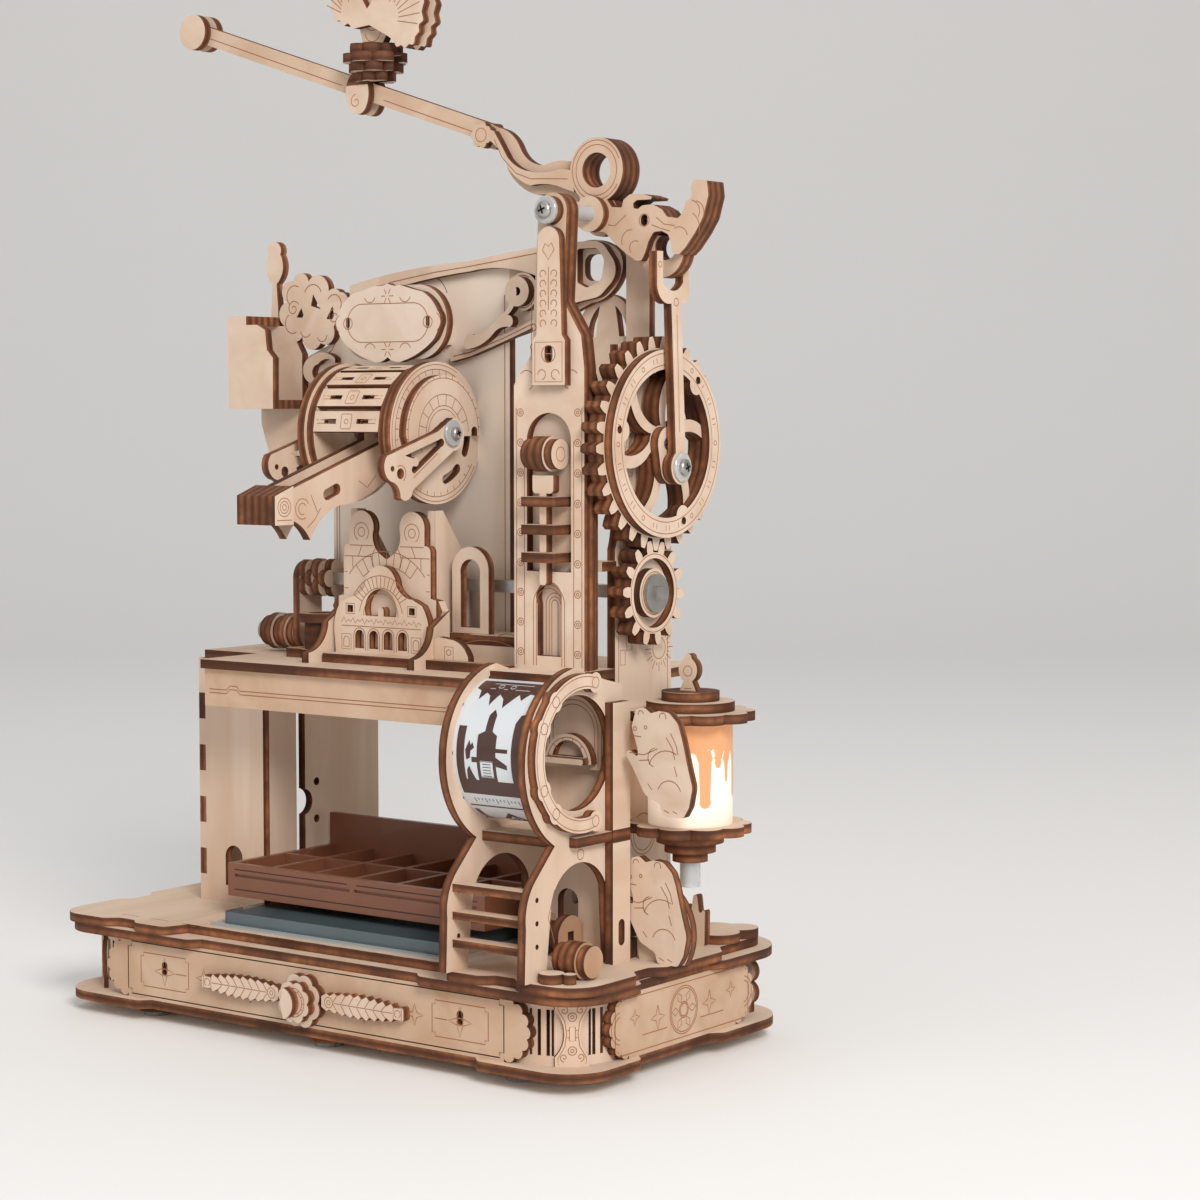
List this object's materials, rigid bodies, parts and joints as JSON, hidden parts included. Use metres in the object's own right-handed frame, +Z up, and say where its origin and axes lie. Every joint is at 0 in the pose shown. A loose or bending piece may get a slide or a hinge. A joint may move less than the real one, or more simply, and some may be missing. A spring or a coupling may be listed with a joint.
{
  "type": "wooden printing press kit",
  "caption": "Hand-cranked plywood press on a rounded base, with meshed gears, a rocking lever, a type drum, a sliding platen and a candle-like lamp.",
  "frame": {"origin": "centre of the base in plan, on the surface that the feet stand on", "axes": "+X along the base towards the gears and the lamp, +Y from front to back, +Z up"},
  "size_m": [0.238, 0.133, 0.352],
  "materials": {
    "plywood": "laser-cut birch ply, matt, with burnt edges",
    "steel": "plain steel",
    "clear_plastic": "clear, glossy",
    "tinted_clear": "clear plate with a blue-grey cast",
    "paper_sheet": "pale matt sheet",
    "printed_film": "satin white film with a brown print",
    "lamp_white": "translucent white, lit from inside",
    "brown_plastic": "satin moulded plastic"
  },
  "bodies": {
    "frame": {"feet": "plywood", "foot_pads": "clear_plastic", "base_bottom": "plywood", "base_top": "plywood", "base_front_panel": "plywood", "base_rear_panel": "plywood", "base_side_panels": "plywood", "corner_walls": "plywood", "base_ornaments": "plywood", "deck_plate": "plywood", "deck_overlays": "plywood", "deck_figure": "plywood", "bay_walls": "plywood", "outer_walls": "plywood", "print_sheet": "paper_sheet", "glass_plates": "tinted_clear", "stand_frames": "plywood", "stand_overlays": "plywood", "stand_film": "printed_film", "stand_shelves": "plywood", "stand_rollers": "plywood", "mid_deck": "plywood", "fascia": "plywood", "facade": "plywood", "arch_ledge": "plywood", "stage_props": "plywood", "back_board": "plywood", "beam": "plywood", "left_finial": "plywood", "drum_discs": "plywood", "drum_slats": "plywood", "sign": "plywood", "tower_front": "plywood", "tower_panel": "plywood", "brayer": "plywood", "pivot_screw": "steel", "pivot_discs": "plywood", "lamp_plates": "plywood", "lamp_shade": "lamp_white", "lamp_tube": "clear_plastic"},
    "front_key": {"front_rosette": "plywood"},
    "platen_carriage": {"platen": "brown_plastic", "platen_pins": "brown_plastic"},
    "feed_arm": {"feed_arm": "plywood", "drum_axle": "steel"},
    "lever": {"lever_core": "plywood", "lever_sides": "plywood", "perch": "plywood", "bird": "plywood"},
    "large_gear": {"big_gear": "plywood", "gear_crank": "plywood", "gear_axle": "steel"},
    "crank_shaft": {"main_shaft": "steel", "small_gear": "plywood", "hand_crank": "plywood"},
    "crank_grip": {"crank_grip": "plywood"},
    "push_rod": {"connecting_rod": "plywood", "rod_screw": "steel"},
    "lamp_lid": {"lamp_lid": "plywood"},
    "climbing_figure": {"climbing_figure": "plywood"}
  },
  "joints": [
    {"name": "rosette_turn", "type": "hinge", "parent": "frame", "child": "front_key", "pos_m": [0, -0.058, 0.0165], "axis": [0, 1, 0], "range_deg": [-90, 90]},
    {"name": "platen_slide", "type": "slide", "parent": "frame", "child": "platen_carriage", "axis": [0, 0, 1], "range_m": [0, 0.045]},
    {"name": "feed_swing", "type": "hinge", "parent": "frame", "child": "feed_arm", "pos_m": [0, -0.013, 0.1955], "axis": [1, 0, 0], "range_deg": [0, 25]},
    {"name": "lever_rock", "type": "hinge", "parent": "frame", "child": "lever", "pos_m": [0.0765, 0, 0.2632], "axis": [0, 1, 0], "range_deg": [-30, 0.5]},
    {"name": "large_gear_spin", "type": "hinge", "parent": "frame", "child": "large_gear", "pos_m": [0.0945, 0.003, 0.1925], "axis": [1, 0, 0], "continuous": true},
    {"name": "shaft_spin", "type": "hinge", "parent": "frame", "child": "crank_shaft", "pos_m": [0, 0, 0.1464], "axis": [1, 0, 0], "continuous": true},
    {"name": "grip_spin", "type": "hinge", "parent": "crank_shaft", "child": "crank_grip", "pos_m": [-0.0585, 0, 0.1274], "axis": [1, 0, 0], "continuous": true},
    {"name": "rod_lift", "type": "slide", "parent": "frame", "child": "push_rod", "axis": [0, 0, 1], "range_m": [-0.0004, 0.0148]},
    {"name": "lid_lift", "type": "slide", "parent": "frame", "child": "lamp_lid", "axis": [0, 0, 1], "range_m": [0, 0.012]},
    {"name": "figure_climb", "type": "slide", "parent": "frame", "child": "climbing_figure", "axis": [0, 0, 1], "range_m": [0, 0.012]}
  ],
  "couplings": [
    {"joint": "shaft_spin", "follows": "large_gear_spin", "ratio": -2.1429},
    {"joint": "rod_lift", "follows": "lever_rock", "m_per_rad": -0.028}
  ]
}
